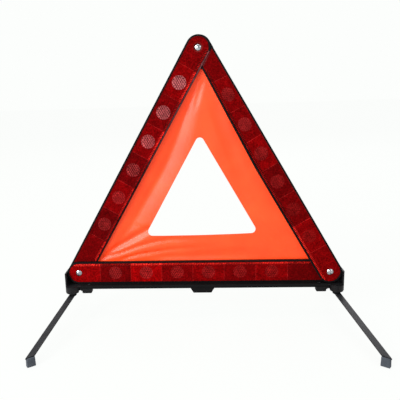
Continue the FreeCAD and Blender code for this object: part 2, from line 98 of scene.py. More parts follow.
class Graph:
    """A small helper for node materials."""

    def __init__(self, name):
        self.mat = bpy.data.materials.new(name)
        self.mat.use_nodes = True
        self.nt = self.mat.node_tree
        self.bsdf = next(n for n in self.nt.nodes if n.type == "BSDF_PRINCIPLED")

    def node(self, kind, **values):
        n = self.nt.nodes.new(kind)
        for k, v in values.items():
            setattr(n, k, v)
        return n

    def link(self, a, b):
        self.nt.links.new(a, b)

    def coords(self, scale=(1, 1, 1), source="Object", rotation=(0, 0, 0), uv=None):
        if uv:
            c = self.node("ShaderNodeUVMap", uv_map=uv).outputs["UV"]
        else:
            c = self.node("ShaderNodeTexCoord").outputs[source]
        m = self.node("ShaderNodeMapping")
        m.inputs["Scale"].default_value = scale
        m.inputs["Rotation"].default_value = rotation
        self.link(c, m.inputs["Vector"])
        return m.outputs["Vector"]

    def noise(self, scale, detail=3.0, rough=0.55, vector=None):
        n = self.node("ShaderNodeTexNoise")
        n.inputs["Scale"].default_value = scale
        n.inputs["Detail"].default_value = detail
        n.inputs["Roughness"].default_value = rough
        self.link(vector or self.coords(), n.inputs["Vector"])
        return n.outputs["Fac"]

    def ramp(self, fac, *stops):
        r = self.node("ShaderNodeValToRGB")
        while len(r.color_ramp.elements) < len(stops):
            r.color_ramp.elements.new(0.5)
        for e, (p, c) in zip(r.color_ramp.elements, stops):
            e.position = p
            e.color = c if hasattr(c, "__len__") else (c, c, c, 1)
        self.link(fac, r.inputs["Fac"])
        return r.outputs["Color"]

    def span(self, fac, low, high, f0=0.0, f1=1.0):
        m = self.node("ShaderNodeMapRange")
        m.inputs["From Min"].default_value = f0
        m.inputs["From Max"].default_value = f1
        m.inputs["To Min"].default_value = low
        m.inputs["To Max"].default_value = high
        self.link(fac, m.inputs["Value"])
        return m.outputs["Result"]

    def math(self, op, a, b):
        m = self.node("ShaderNodeMath", operation=op)
        for i, x in enumerate((a, b)):
            if hasattr(x, "is_output"):
                self.link(x, m.inputs[i])
            else:
                m.inputs[i].default_value = x
        return m.outputs[0]

    def times(self, colour, fac):
        """colour multiplied by a value that varies over the surface."""
        m = self.node("ShaderNodeVectorMath", operation="SCALE")
        self.link(colour, m.inputs[0])
        self.link(fac, m.inputs["Scale"])
        return m.outputs["Vector"]

    def bump(self, height, strength, distance):
        b = self.node("ShaderNodeBump")
        b.inputs["Strength"].default_value = strength
        b.inputs["Distance"].default_value = distance
        self.link(height, b.inputs["Height"])
        self.link(b.outputs["Normal"], self.bsdf.inputs["Normal"])

    def set(self, **values):
        for k, v in values.items():
            self.bsdf.inputs[k.replace("_", " ")].default_value = v
        return self


def moulded(name, dark, light, rough=(0.42, 0.6), spec=0.25, grain=2600.0, grain_depth=0.00003, edge_wear_and_sheen=None):
    """Moulded plastic: fine spark-eroded grain, faint flow marks and paler edges: wear on the housings, a painted
    highlight on the brackets.
    """
    g = Graph(name)
    flow = g.noise(28.0, 4.0, 0.6)
    grain_fac = g.noise(grain, 2.0, 0.5)
    base = g.ramp(flow, (0.3, dark), (0.72, light))
    if edge_wear_and_sheen:
        edge = g.node("ShaderNodeNewGeometry").outputs["Pointiness"]
        mask = g.ramp(edge, (0.6, 0.0), (0.74, 1.0))
        speck = g.ramp(g.noise(160.0, 3.0, 0.6), (0.42, 0.0), (0.66, 1.0))
        fac = g.math("MULTIPLY", mask, speck)
        mix = g.node("ShaderNodeMix", data_type="RGBA")
        g.link(fac, mix.inputs["Factor"])
        g.link(base, mix.inputs[6])
        mix.inputs[7].default_value = edge_wear_and_sheen
        base = mix.outputs[2]
    g.link(base, g.bsdf.inputs["Base Color"])
    g.link(g.span(g.noise(55.0, 3.0, 0.6), rough[0], rough[1]), g.bsdf.inputs["Roughness"])
    g.set(Specular_IOR_Level=spec)
    g.bump(grain_fac, 0.35, grain_depth)
    return g.mat


def metal(name, dark, light, rough=(0.16, 0.3), scratch=0.00002, metallic=1.0):
    g = Graph(name)
    fac = g.noise(90.0, 4.0, 0.62)
    g.link(g.ramp(fac, (0.3, dark), (0.7, light)), g.bsdf.inputs["Base Color"])
    g.link(g.span(g.noise(420.0, 3.0, 0.6), rough[0], rough[1]), g.bsdf.inputs["Roughness"])
    g.set(Metallic=metallic)
    g.bump(g.noise(900.0, 2.0, 0.5), 0.25, scratch)
    return g.mat


black = moulded("black_abs", srgb(7, 5, 6), srgb(15, 11, 12), rough=(0.36, 0.52), spec=0.14, edge_wear_and_sheen=srgb(50, 43, 45))
black_lug = moulded("black_abs_lug", srgb(12, 11, 12), srgb(22, 20, 21), rough=(0.34, 0.5), spec=0.2)
rail_mat = moulded("coated_rail", srgb(13, 13, 14), srgb(17, 17, 18), rough=(0.38, 0.46), spec=0.16, grain=5200.0, grain_depth=0.000012)
leg_mat = metal("leg_strip", srgb(24, 25, 27), srgb(40, 41, 44), rough=(0.36, 0.54), metallic=0.35)
# the brackets' lighter black and paler edges are painted highlight standing in for their grey reflections
bracket_mat = moulded("bracket_abs", srgb(13, 13, 14), srgb(25, 25, 27), rough=(0.28, 0.46), spec=0.34, edge_wear_and_sheen=srgb(84, 86, 90))
foot_mat = moulded("foot_rubber", srgb(66, 72, 79), srgb(92, 99, 107), rough=(0.5, 0.7), spec=0.3, grain=1800.0, grain_depth=0.00005)
rivet_mat = metal("rivet_steel", srgb(196, 203, 208), srgb(236, 241, 244), rough=(0.1, 0.22))
washer_mat = metal("zinc_washer", srgb(150, 154, 158), srgb(196, 200, 203), rough=(0.24, 0.4))
nylon = moulded("nylon_washer", srgb(196, 192, 180), srgb(222, 219, 208), rough=(0.4, 0.55), spec=0.4)
nylon.node_tree.nodes["Principled BSDF"].inputs["Subsurface Weight"].default_value = 0.15


def lens_material():
    """Red acrylic reflector. The cell tones, with the painted reflection of cells, strips and discs, are a colour
    attribute; the micro-prism lattice runs along each arm on the arm's own UV map (metres) and also paints a glint into
    the colour."""
    g = Graph("reflector_red")
    tone = g.node("ShaderNodeAttribute", attribute_name="cell_red_and_reflection").outputs["Color"]
    uv = g.coords(uv="arm")
    # lattice of prism corners, about 1.3 mm, as two crossed saw-tooth sets
    heights = []
    for angle in (30.0, 90.0, 150.0):
        w = g.node("ShaderNodeTexWave", wave_type="BANDS", bands_direction="X", wave_profile="TRI")
        w.inputs["Scale"].default_value = 240.0
        w.inputs["Distortion"].default_value = 0.0
        m = g.node("ShaderNodeMapping")
        m.inputs["Rotation"].default_value = (0, 0, math.radians(angle))
        g.link(g.node("ShaderNodeUVMap", uv_map="arm").outputs["UV"], m.inputs["Vector"])
        g.link(m.outputs["Vector"], w.inputs["Vector"])
        heights.append(w.outputs["Fac"])
    lattice = g.math("MULTIPLY", g.math("MULTIPLY", heights[0], heights[1]), heights[2])
    # painted glint: the prism lattice lightens the red colour in fine sparkles
    sparkle = g.span(lattice, 0.86, 1.5, 0.0, 0.6)
    patch = g.span(g.noise(95.0, 4.0, 0.65, vector=uv), 0.62, 1.38, 0.28, 0.72)
    fine = g.span(g.noise(400.0, 2.0, 0.6, vector=uv), 0.55, 1.45, 0.3, 0.7)
    g.link(g.times(g.times(g.times(tone, sparkle), patch), fine), g.bsdf.inputs["Base Color"])
    g.link(g.span(g.noise(70.0, 3.0, 0.6), 0.2, 0.36), g.bsdf.inputs["Roughness"])
    g.set(Specular_IOR_Level=0.03, Specular_Tint=(1.0, 0.22, 0.18, 1.0))
    g.bump(lattice, 0.25, 0.00008)
    return g.mat


def cloth_material():
    """Fluorescent coated cloth: fine square weave, satin sheen on the folds, and a painted red glow."""
    g = Graph("fluorescent_cloth")
    weave = []
    for axis in ("X", "Z"):
        w = g.node("ShaderNodeTexWave", wave_type="BANDS", bands_direction=axis, wave_profile="SIN")
        w.inputs["Scale"].default_value = 420.0
        w.inputs["Distortion"].default_value = 0.35
        w.inputs["Detail"].default_value = 1.0
        w.inputs["Detail Scale"].default_value = 2.0
        g.link(g.coords(), w.inputs["Vector"])
        weave.append(w.outputs["Fac"])
    over = g.math("MAXIMUM", weave[0], weave[1])
    cloud = g.noise(16.0, 4.0, 0.6)
    base = g.ramp(cloud, (0.3, srgb(240, 73, 22)), (0.5, srgb(242, 81, 27)), (0.7, srgb(244, 88, 32)))
    g.link(g.times(base, g.span(over, 0.93, 1.03)), g.bsdf.inputs["Base Color"])
    g.link(g.span(g.noise(120.0, 3.0, 0.6), 0.34, 0.44), g.bsdf.inputs["Roughness"])
    g.set(Specular_IOR_Level=0.5)
    # painted glow: a red-orange emission lifts the cloth's red where it lies in shade
    g.bsdf.inputs["Emission Color"].default_value = (1.0, 0.035, 0.006, 1.0)
    g.bsdf.inputs["Emission Strength"].default_value = 0.40
    g.bump(over, 0.3, 0.00006)
    return g.mat


lens_mat = lens_material()
cloth_mat = cloth_material()


def ring_material():
    """The plain red seat round the top stud."""
    g = Graph("stud_seat_red")
    g.link(g.ramp(g.noise(60.0, 3.0, 0.6), (0.3, srgb(92, 4, 6)), (0.7, srgb(124, 8, 10))), g.bsdf.inputs["Base Color"])
    g.link(g.span(g.noise(90.0, 3.0, 0.6), 0.26, 0.4), g.bsdf.inputs["Roughness"])
    g.set(Specular_IOR_Level=0.35, Specular_Tint=(1.0, 0.3, 0.26, 1.0))
    g.bump(g.noise(700.0, 2.0, 0.5), 0.2, 0.00003)
    return g.mat


ring_mat = ring_material()

CAD_FINISH = {
    "bottom_arm_housing": black, "left_arm_housing": black, "right_arm_housing": black,
    "left_end_bracket": bracket_mat, "right_end_bracket": bracket_mat,
    "base_rail": rail_mat,
    "top_stud_ring": ring_mat, "top_snap_stud": rivet_mat,
    "left_corner_rivet": rivet_mat, "right_corner_rivet": rivet_mat,
    "left_corner_washer": nylon, "right_corner_washer": nylon, "left_corner_burr": washer_mat,
    "rail_screws": washer_mat, "bracket_screws": washer_mat,
    "leg_pivot_rivets": washer_mat, "leg_pivot_washers": washer_mat,
}
for corner in ("front_left", "front_right", "rear_left", "rear_right"):
    CAD_FINISH[corner + "_leg"] = leg_mat
    CAD_FINISH[corner + "_foot"] = foot_mat
for name, mat in CAD_FINISH.items():
    node = NODES[name]
    if not node.material_slots:
        node.data.materials.append(mat)
    for s in node.material_slots:
        s.material = mat


# -------------------------------------------------------------- mesh helpers
def new_mesh(name, points, faces, materials, smooth=None):
    me = bpy.data.meshes.new(name)
    me.from_pydata([tuple(p) for p in points], [], faces)
    me.validate(clean_customdata=False)
    me.update()
    ob = bpy.data.objects.new(name, me)
    scene.collection.objects.link(ob)
    for m in materials:
        me.materials.append(m)
    if smooth is not None:
        me.shade_smooth()
        if smooth < 179:
            me.set_sharp_from_angle(angle=math.radians(smooth))
    return ob


class Plane2D:
    """Feature lines on a plane, triangulated at once, each point with a height."""

    def __init__(self):
        self.pts, self.h, self.edges, self.seen = [], [], [], {}

    def point(self, x, y, h=0.0):
        key = (round(x, 4), round(y, 4))
        if key not in self.seen:
            self.seen[key] = len(self.pts)
            self.pts.append(Vector((x, y)))
            self.h.append(h)
        return self.seen[key]

    def line(self, points, h=0.0, closed=False):
        hs = h if hasattr(h, "__len__") else [h] * len(points)
        ids = [self.point(x, y, k) for (x, y), k in zip(points, hs)]
        for a, b in zip(ids, ids[1:] + (ids[:1] if closed else [])):
            if a != b:
                self.edges.append((a, b))
        return ids

    def triangles(self, keep):
        out, _, faces, origin, _, _ = delaunay_2d_cdt(self.pts, self.edges, [], 0, 1e-5)
        hs = [self.h[o[0]] if o else 0.0 for o in origin]
        first = {}
        for i, o in enumerate(origin):
            for k in o:
                first[k] = i
        good = []
        for f in faces:
            cx = sum(out[i][0] for i in f) / len(f)
            cy = sum(out[i][1] for i in f) / len(f)
            if keep(cx, cy):
                area = sum(out[f[i]][0] * out[f[(i + 1) % len(f)]][1] - out[f[(i + 1) % len(f)]][0] * out[f[i]][1] for i in range(len(f)))
                good.append(list(f) if area > 0 else list(reversed(f)))
        return [(p[0], p[1]) for p in out], hs, good, first


# -------------------------------------------------------------- the reflectors
# red of each cell from the arm's front pivot (linear), lighter or darker cell by cell as painted reflection, and how
# strongly the saw-tooth strip and the disc of each cell glow, also painted reflection
CELL_RED_AND_REFLECTION = {
    "bottom": [0.24, 0.145, 0.30, 0.175, 0.205, 0.165, 0.205, 0.125],
    "left": [0.165, 0.205, 0.155, 0.185, 0.125, 0.195, 0.115, 0.145],
    "right": [0.18, 0.205, 0.15, 0.125, 0.205, 0.16, 0.175, 0.150],
}
STRIPS = {
    "bottom": [0.80, 0.24, 0.78, 0.42, 0.50, 0.34, 0.52, 0.34],
    "left": [0.22, 0.54, 0.20, 0.54, 0.18, 0.32, 0.19, 0.42],
    "right": [0.50, 0.80, 0.17, 0.24, 0.20, 0.18, 0.20, 0.18],
}
DISCS = {
    "bottom": [(0.21, 0.009), (0.28, 0.010), (0.24, 0.008), (0.225, 0.007), (0.215, 0.006), (0.235, 0.006)],
    "left": [(0.33, 0.076), (0.295, 0.054), (0.325, 0.050), (0.215, 0.018), (0.26, 0.010), (0.205, 0.010)],
    "right": [(0.205, 0.004), (0.168, 0.004), (0.19, 0.006), (0.20, 0.007), (0.235, 0.010), (0.205, 0.008)],
}


def build_lens(arm, body, end_shift, hole):
    inner = LENS_R - 0.35
    start = CELL_START[arm]
    top = 11.2                    # lower edge of the saw-tooth strip

    def outline(r, shift, n=22):
        pts = [(edge_u(-r, shift), -r), (edge_u(r, shift), r)]
        pts += [(-r * math.sin(math.pi * i / n), r * math.cos(math.pi * i / n)) for i in range(n + 1)]
        return pts

    p = Plane2D()
    rim_in = outline(inner, end_shift - 0.35)
    rim_out = outline(LENS_R, end_shift)
    ring_ids = p.line(rim_in, 0.0, closed=True)
    hole_pts = [(hole * math.cos(2 * math.pi * i / 40), hole * math.sin(2 * math.pi * i / 40)) for i in range(40)]
    hole_ids = p.line(hole_pts, 0.0, closed=True)
    lines = [start + i * CELL for i in range(7)]
    for u in lines:
        ends = (-14.7, top - 0.5)
        p.line([(u - 0.5, ends[0]), (u - 0.5, ends[1])], 0.0)
        p.line([(u + 0.5, ends[0]), (u + 0.5, ends[1])], 0.0)
        p.line([(u, ends[0] + 0.3), (u, ends[1] - 0.3)], -0.32)
        p.line([(u - 0.5, ends[0]), (u + 0.5, ends[0])], 0.0)
        p.line([(u - 0.5, ends[1]), (u + 0.5, ends[1])], 0.0)
    # raised discs with a honeycomb of low pyramids
    step = 3.3
    for i in range(6):
        cu = start + CELL / 2 + i * CELL
        n = 56
        p.line([(cu + 10.7 * math.cos(2 * math.pi * k / n), 10.7 * math.sin(2 * math.pi * k / n) - 0.3) for k in range(n)], 0.0, closed=True)
        p.line([(cu + 10.35 * math.cos(2 * math.pi * k / n), 10.35 * math.sin(2 * math.pi * k / n) - 0.3) for k in range(n)], 0.16, closed=True)
        rad = step / math.sqrt(3)
        for a in range(-6, 7):
            for b in range(-6, 7):
                x, y = step * (a + b / 2.0), step * b * S60
                if math.hypot(x, y) > 10.35 - rad * 0.93:
                    continue
                corners = [(cu + x + rad * math.cos(math.radians(30 + 60 * k)), y - 0.3 + rad * math.sin(math.radians(30 + 60 * k))) for k in range(6)]
                p.line(corners, 0.10, closed=True)
                p.point(cu + x, y - 0.3, 0.50)
    # saw-tooth strip along the inner edge
    pitch = 2.6
    u = 1.0
    low, high = [], []
    while u < edge_u(15.0, end_shift) - pitch - 1.0:
        p.line([(u, top), (u, 14.85)], 0.26)
        p.line([(u + 0.3, top), (u + 0.3, 14.85)], -0.22)
        low += [(u, top - 0.32), (u + 0.3, top - 0.32)]
        u += pitch
    p.line(low, 0.0)

    def keep(x, y):
        if math.hypot(x, y) < hole - 1e-3:
            return False
        return abs(y) < inner and x < edge_u(y, end_shift - 0.35) and (x > 0 or math.hypot(x, y) < inner)

    flat, hs, tris, first = p.triangles(keep)

    def at(x, y, w):
        if arm == "right":
            x, y = draw_in(x, y, end_shift)
        return place(arm, x, y, w)

    pts = [at(x, y, FRONT - h) for (x, y), h in zip(flat, hs)]
    uvs = [(x * MM, y * MM) for x, y in flat]
    faces, colours = [], []

    def colour_at(x, y):
        cell = 0 if x < start else min(7, int((x - start) // CELL) + 1)
        r = CELL_RED_AND_REFLECTION[arm][cell]
        i = int((x - start) // CELL) if x >= start else -1
        if 0 <= i < 6:
            cu = start + CELL / 2 + i * CELL
            if math.hypot(x - cu, y + 0.3) < 10.55:
                rr, gg = DISCS[arm][i]
                # painted reflection: the six facets of each prism are painted lighter or darker, as they throw back
                # more or less light
                b0 = (y + 0.3) / (step * S60)
                bi = round(b0)
                ax = (x - cu) / step - bi / 2.0
                best = None
                for db in (-1, 0, 1):
                    for da in (-1, 0, 1):
                        bb = bi + db
                        aa = round((x - cu) / step - bb / 2.0) + da
                        dx, dy = x - cu - step * (aa + bb / 2.0), y + 0.3 - step * bb * S60
                        if best is None or dx * dx + dy * dy < best[0]:
                            best = (dx * dx + dy * dy, math.atan2(dy, dx))
                k = int(((math.degrees(best[1]) + 390) % 360) // 60)
                f = (0.45, 1.05, 1.75, 1.7, 0.6, 0.3)[k] if best[0] < 2.9 else 0.8
                f = 1 + (f - 1) * (1.0 if arm == "left" and i < 4 else 0.25 if arm == "right" and i < 3 else 0.45)
                return (rr * f, gg * f, gg * 1.05 * f, 1.0)
        near = min(abs(x - q) for q in lines)
        if near < 0.5 and y < top:
            return (min(0.42, r * 1.75), 0.008, 0.008, 1.0)
        if (arm == "right" and y > 14.2) or (arm == "left" and y < -14.0):
            return (0.030, 0.0012, 0.0016, 1.0)      # in the shade of the rim
        if y > top:
            # painted light and shade: one face of each tooth lighter, the other darker, with a whitish painted glint on
            # the brighter strips
            s = STRIPS[arm][cell]
            tooth = ((x - 1.0) % pitch) / pitch
            s *= 1.5 if tooth > 0.5 else 0.38
            return (min(0.9, s), 0.004 + 0.03 * max(0.0, s - 0.28), 0.004 + 0.02 * max(0.0, s - 0.28), 1.0)
        return (r, 0.0012, 0.0018, 1.0)

    for f in tris:
        cx = sum(flat[i][0] for i in f) / len(f)
        cy = sum(flat[i][1] for i in f) / len(f)
        faces.append(f)
        colours.append(colour_at(cx, cy))

    def add(x, y, w):
        pts.append(at(x, y, w))
        uvs.append((x * MM, y * MM))
        return len(pts) - 1

    edge_colour = (0.085, 0.0022, 0.0026, 1.0)
    ids_in = [first[i] for i in ring_ids]
    mid = [add(x, y, FRONT + 0.35) for x, y in rim_out]
    back = [add(x, y, LENS_BACK) for x, y in rim_out]
    n = len(ids_in)
    for i in range(n):
        j = (i + 1) % n
        faces.append([ids_in[j], ids_in[i], mid[i], mid[j]])
        faces.append([mid[j], mid[i], back[i], back[j]])
        colours += [edge_colour, edge_colour]
    ids_hole = [first[i] for i in hole_ids]
    hole_back = [add(x, y, LENS_BACK) for x, y in hole_pts]
    m = len(ids_hole)
    for i in range(m):
        j = (i + 1) % m
        faces.append([ids_hole[i], ids_hole[j], hole_back[j], hole_back[i]])
        colours.append(edge_colour)
    # plain back
    q = Plane2D()
    out_ids = q.line(rim_out, 0.0, closed=True)
    in_ids = q.line(hole_pts, 0.0, closed=True)
    flat2, _, tris2, first2 = q.triangles(lambda x, y: math.hypot(x, y) > hole - 1e-3 and (x > 0 or math.hypot(x, y) < LENS_R))
    lookup = {first2[a]: b for a, b in zip(out_ids, back)}
    lookup.update({first2[a]: b for a, b in zip(in_ids, hole_back)})
    for f in tris2:
        if all(i in lookup for i in f):
            faces.append([lookup[i] for i in reversed(f)])
            colours.append(edge_colour)
    def flange(rows, shade):
        """A thin lip of the reflector over a rim: rows of four-cornered sections."""
        ids = [[add(*c) for c in row] for row in rows]
        for k in range(len(ids) - 1):
            for q in range(4):
                r = (q + 1) % 4
                faces.append([ids[k][r], ids[k][q], ids[k + 1][q], ids[k + 1][r]])
                colours.append(shade(k / (len(ids) - 2)))
        faces.append(list(ids[0]))
        faces.append(list(reversed(ids[-1])))
        colours.extend([edge_colour, edge_colour])

    if arm == "left":
        # thin clear-red lip that laps the inner rim of this arm
        n_seg = 60
        u0, u1 = -3.0, edge_u(17.7, end_shift) - 1.0

        def lip(t):
            fade = max(0.0, 1 - t / 0.62) ** 0.8
            near = max(0.0, 1 - t / 0.13)
            return (0.022 + 0.105 * fade + 0.08 * near, 0.008 + 0.036 * fade + 0.012 * near, 0.009 + 0.040 * fade + 0.012 * near, 1.0)

        rows = []
        for k in range(n_seg + 1):
            u = u0 + (u1 - u0) * k / n_seg
            far = min(17.7, math.sqrt(17.7 ** 2 - min(0.0, u) ** 2))
            rows.append([(u, 15.6, -2.12), (u, 15.6, -2.34), (u, far - 0.25, -2.28), (u, far, -2.12)])
        flange(rows, lip)
    if arm == "right":
        # the same lip over the rim at this arm's upper end
        r0 = LENS_R - 0.2
        rows = []
        for k in range(25):
            v = -r0 + 2 * r0 * k / 24
            a, b = edge_u(v, end_shift - 0.1), edge_u(v, -0.15)
            rows.append([(b, v, -2.12), (b - 0.2, v, -2.26), (a, v, -2.34), (a, v, -2.12)])
        flange(rows, lambda t: (0.115, 0.0030 + 0.012 * t, 0.0034 + 0.013 * t, 1.0))
    ob = new_mesh(arm + "_reflector", pts, faces, [lens_mat])
    me = ob.data
    layer = me.uv_layers.new(name="arm")
    loops = np.zeros(len(me.loops), np.int64)
    me.loops.foreach_get("vertex_index", loops)
    layer.data.foreach_set("uv", np.array(uvs, np.float32)[loops].ravel())
    attr = me.color_attributes.new("cell_red_and_reflection", "FLOAT_COLOR", "CORNER")
    vals = np.zeros((len(me.loops), 4), np.float32)
    if len(me.polygons) == len(colours):
        for poly, c in zip(me.polygons, colours):
            vals[poly.loop_start:poly.loop_start + poly.loop_total] = c
    attr.data.foreach_set("color", vals.ravel())
    me.shade_flat()
    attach(ob, body)
    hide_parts(arm + "_arm_lens")
    return ob


build_lens("bottom", "base", 1.4, 2.45)
build_lens("left", "left_arm", 1.4, 7.6)
build_lens("right", "right_arm", -2.0, 2.55)

# --------------------------------------------------------------- the top lug
source = NODES["right_arm_snap_lug"]
lug = bpy.data.objects.new("top_snap_lug", source.data.copy())
scene.collection.objects.link(lug)
lug.data.materials.clear()
lug.data.materials.append(black_lug)
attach(lug, "right_arm")
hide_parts("right_arm_snap_lug")
# the hole for the stud is drawn a little wider, so that the folded lug also clears the
# corner rivet it then lies over
hole_at = Vector((0.0, 0.0, (PIVOT_Z + PIVOT * S60) * MM))
for vert in lug.data.vertices:
    away = Vector((vert.co.x - hole_at.x, 0.0, vert.co.z - hole_at.z))
    if 0.0005 < away.length < 0.0051:
        away = away.normalized() * 0.00515
        vert.co.x, vert.co.z = hole_at.x + away.x, hole_at.z + away.z
lug.data.update()
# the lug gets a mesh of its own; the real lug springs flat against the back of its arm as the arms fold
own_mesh(lug)

# ----------------------------------------------------------------- the cloth
PANEL_T = 0.45          # coated cloth, as stretched
UNDER = 5.0
HOLE, HOLE_R = [(-89.0, 57.5), (89.0, 60.5), (0.0, 218.0)], 6.5
INSET = HW - UNDER
HALF = PIVOT / 2 - INSET * T60
OUTLINE = [(-HALF, INSET), (HALF, INSET), (86.24, 166.71), (7.36, 318.0), (1.11, 318.0)]


def edge_distance(x, z):
    """How far inside the outline points lie, mm (negative outside). The right side bends
    outwards half way up, so the further of its two edges counts there."""
    d = []
    for (x0, z0), (x1, z1) in zip(OUTLINE, OUTLINE[1:] + OUTLINE[:1]):
        ln = math.hypot(x1 - x0, z1 - z0)
        d.append(((x1 - x0) * (z - z0) - (z1 - z0) * (x - x0)) / ln)
    return np.minimum.reduce([d[0], np.maximum(d[1], d[2]), d[3], d[4]])


def panel_y(x, z):
    """The panel's mid plane; z from the pivots."""
    return 6.5 - 0.0147 * x + 0.0047 * z


def rounded(points, radius, n=7):
    out = []
    m = len(points)
    for i in range(m):
        p0, p, p1 = (np.array(points[(i + k) % m], float) for k in (-1, 0, 1))
        a, b = p0 - p, p1 - p
        a /= np.linalg.norm(a)
        b /= np.linalg.norm(b)
        half = math.acos(np.clip(a @ b, -1, 1)) / 2
        t = radius / math.tan(half)
        bis = (a + b) / np.linalg.norm(a + b)
        c = p + bis * radius / math.sin(half)
        s, e = p + a * t, p + b * t
        for k in range(n + 1):
            w = k / n
            q = (s - c) * math.sin((1 - w) * (math.pi - 2 * half)) + (e - c) * math.sin(w * (math.pi - 2 * half))
            q = c + q / math.sin(math.pi - 2 * half)
            out.append(tuple(q))
    return out


def densify(points, step):
    out = []
    m = len(points)
    for i in range(m):
        a, b = np.array(points[i]), np.array(points[(i + 1) % m])
        n = max(1, int(round(np.linalg.norm(b - a) / step)))
        for k in range(n):
            out.append(tuple(a + (b - a) * k / n))
    return out


def crease(x, z, path, left, right, depth, start=0.0, end=1.0, soft=0.18, sharp=False):
    """A drawn fold along a path of (x, z) from the pivots: the cloth falls over `left`
    to the fold's bottom and rises over `right`. Returns the height towards the viewer."""
    path = np.array(path, float)
    p = np.stack([x, z], 1)
    best = np.full(len(p), 1e9)
    s_best = np.zeros(len(p))
    t_best = np.zeros(len(p))
    seg = path[1:] - path[:-1]
    ln = np.linalg.norm(seg, axis=1)
    acc = np.concatenate([[0], np.cumsum(ln)]) / ln.sum()
    for i in range(len(seg)):
        d = seg[i] / ln[i]
        rel = p - path[i]
        t = np.clip(rel @ d, 0, ln[i])
        away = rel - t[:, None] * d
        dist = np.linalg.norm(away, axis=1)
        side = np.sign(rel[:, 0] * -d[1] + rel[:, 1] * d[0])
        hit = dist < best
        best[hit] = dist[hit]
        s_best[hit] = (dist * side)[hit]
        t_best[hit] = (acc[i] + (t / ln[i]) * (acc[i + 1] - acc[i]))[hit]

    def taper(t):
        a = np.clip(t / max(start, 1e-6), 0, 1) if start > 0 else 1.0
        b = np.clip((1 - t) / max(end, 1e-6), 0, 1) if end > 0 else 1.0
        return (a * a * (3 - 2 * a)) * (b * b * (3 - 2 * b)) if start > 0 or end > 0 else np.ones_like(t)

    def width(w, t):
        return np.interp(t, np.linspace(0, 1, len(w)), w) if hasattr(w, "__len__") else w

    wl, wr = width(left, t_best), width(right, t_best)
    dd = width(depth, t_best)
    s = s_best
    k = np.where(s >= 0, s / wl, -s / wr)
    k = np.sqrt(k * k + soft * soft) - soft
    k = np.clip(k, 0, 1)
    if sharp:
        return -dd * (1 - k) ** 1.45 * taper(t_best)
    return -dd * (1 - k * k * (3 - 2 * k)) * taper(t_best)


def folds(x, z):
    """Height of the cloth towards the viewer, mm, at points x and z from the pivots."""
    h = np.zeros_like(x)
    # the broad fold from the top corner past the opening to the lower left corner
    main = [(0, 306), (-7, 280), (-17, 255), (-32, 219), (-48, 182), (-61, 157), (-79, 127), (-97, 98), (-112, 74), (-132, 47), (-154, 24)]
    h += crease(x, z, main, [8, 13, 21, 27, 29, 29, 26, 20, 11], [8, 12, 16, 18, 18, 17, 15, 11, 6], [1.7, 3.4, 5.6, 6.7, 7.0, 6.8, 5.4, 3.1, 1.3], 0.05, 0.08, soft=0.1, sharp=True)
    h += crease(x, z, [(8, 300), (2, 282), (-4, 262), (-8, 244)], [3.5, 5, 5], [3, 5, 4], [1.0, 1.7, 0.9], 0.2, 0.4, sharp=True)
    h += crease(x, z, [(-2, 290), (-14, 262), (-26, 236), (-38, 212)], [3, 4, 4], [3, 4, 4], [0.8, 1.2, 0.7], 0.2, 0.4, sharp=True)
    # folds that run from the lower left corner
    h += crease(x, z, [(-165, 18), (-143, 34.5), (-120, 47.5), (-90, 64.5), (-80, 70)], [4, 6, 8, 8], [4, 8, 11, 9], [1.5, 4.0, 5.2, 4.4], 0.15, 0.02, soft=0.1, sharp=True)
    h += crease(x, z, [(-163, 19), (-147, 24.5), (-132, 28.5), (-118, 33.5), (-102, 39.5), (-86, 44), (-68, 48), (-50, 50.5), (-10, 52.5), (40, 53)], [3, 5, 7, 9, 10], [2.4, 3.4, 5, 7.5, 10], [2.6, 3.4, 3.3, 2.6, 1.4, 0.8], 0.01, 0.5, soft=0.06, sharp=True)
    h += crease(x, z, [(-137, 15.5), (-120, 21.5), (-104, 26), (-86, 29), (-50, 34), (0, 37.5), (60, 39)], [3, 4, 6, 8, 9], [2.6, 3.4, 5, 7.5, 9], [2.8, 3.2, 2.2, 1.3, 0.7], 0.05, 0.5, soft=0.06, sharp=True)
    h += crease(x, z, [(-100, 17), (-40, 22), (40, 24.5), (120, 25)], [9, 14, 13], [5, 7, 7], [0.9, 2.3, 1.4], 0.2, 0.4)
    # gentle drawing-in along the left arm and from the lower right corner
    h += crease(x, z, [(-30, 252), (-66, 186), (-104, 118), (-140, 54)], [9, 12, 9], [7, 9, 8], [0.6, 1.3, 0.8], 0.2, 0.2)
    h += crease(x, z, [(158, 18), (120, 42), (86, 74), (60, 120), (40, 170)], [8, 13, 15], [8, 12, 13], [1.0, 1.4, 0.7], 0.1, 0.5)
    h += crease(x, z, [(12, 286), (34, 222), (58, 160), (84, 108)], [9, 12, 11], [8, 11, 11], [0.7, 1.3, 0.6], 0.3, 0.4)
    h += crease(x, z, [(-86, 66), (-95, 71), (-106, 78)], [3, 4], [3, 4], [1.0, 0.8], 0.3, 0.4, sharp=True)
    # very soft unevenness of the stretched cloth
    h += 0.28 * np.sin(x * 0.047 + 0.6) * np.sin(z * 0.036 + 1.1) + 0.12 * np.sin(x * 0.11 - z * 0.07)
    # flat where the arms hold the edge
    hold = np.clip((edge_distance(x, z) - 2.5) / 7.0, 0, 1)
    return h * hold * hold * (3 - 2 * hold)


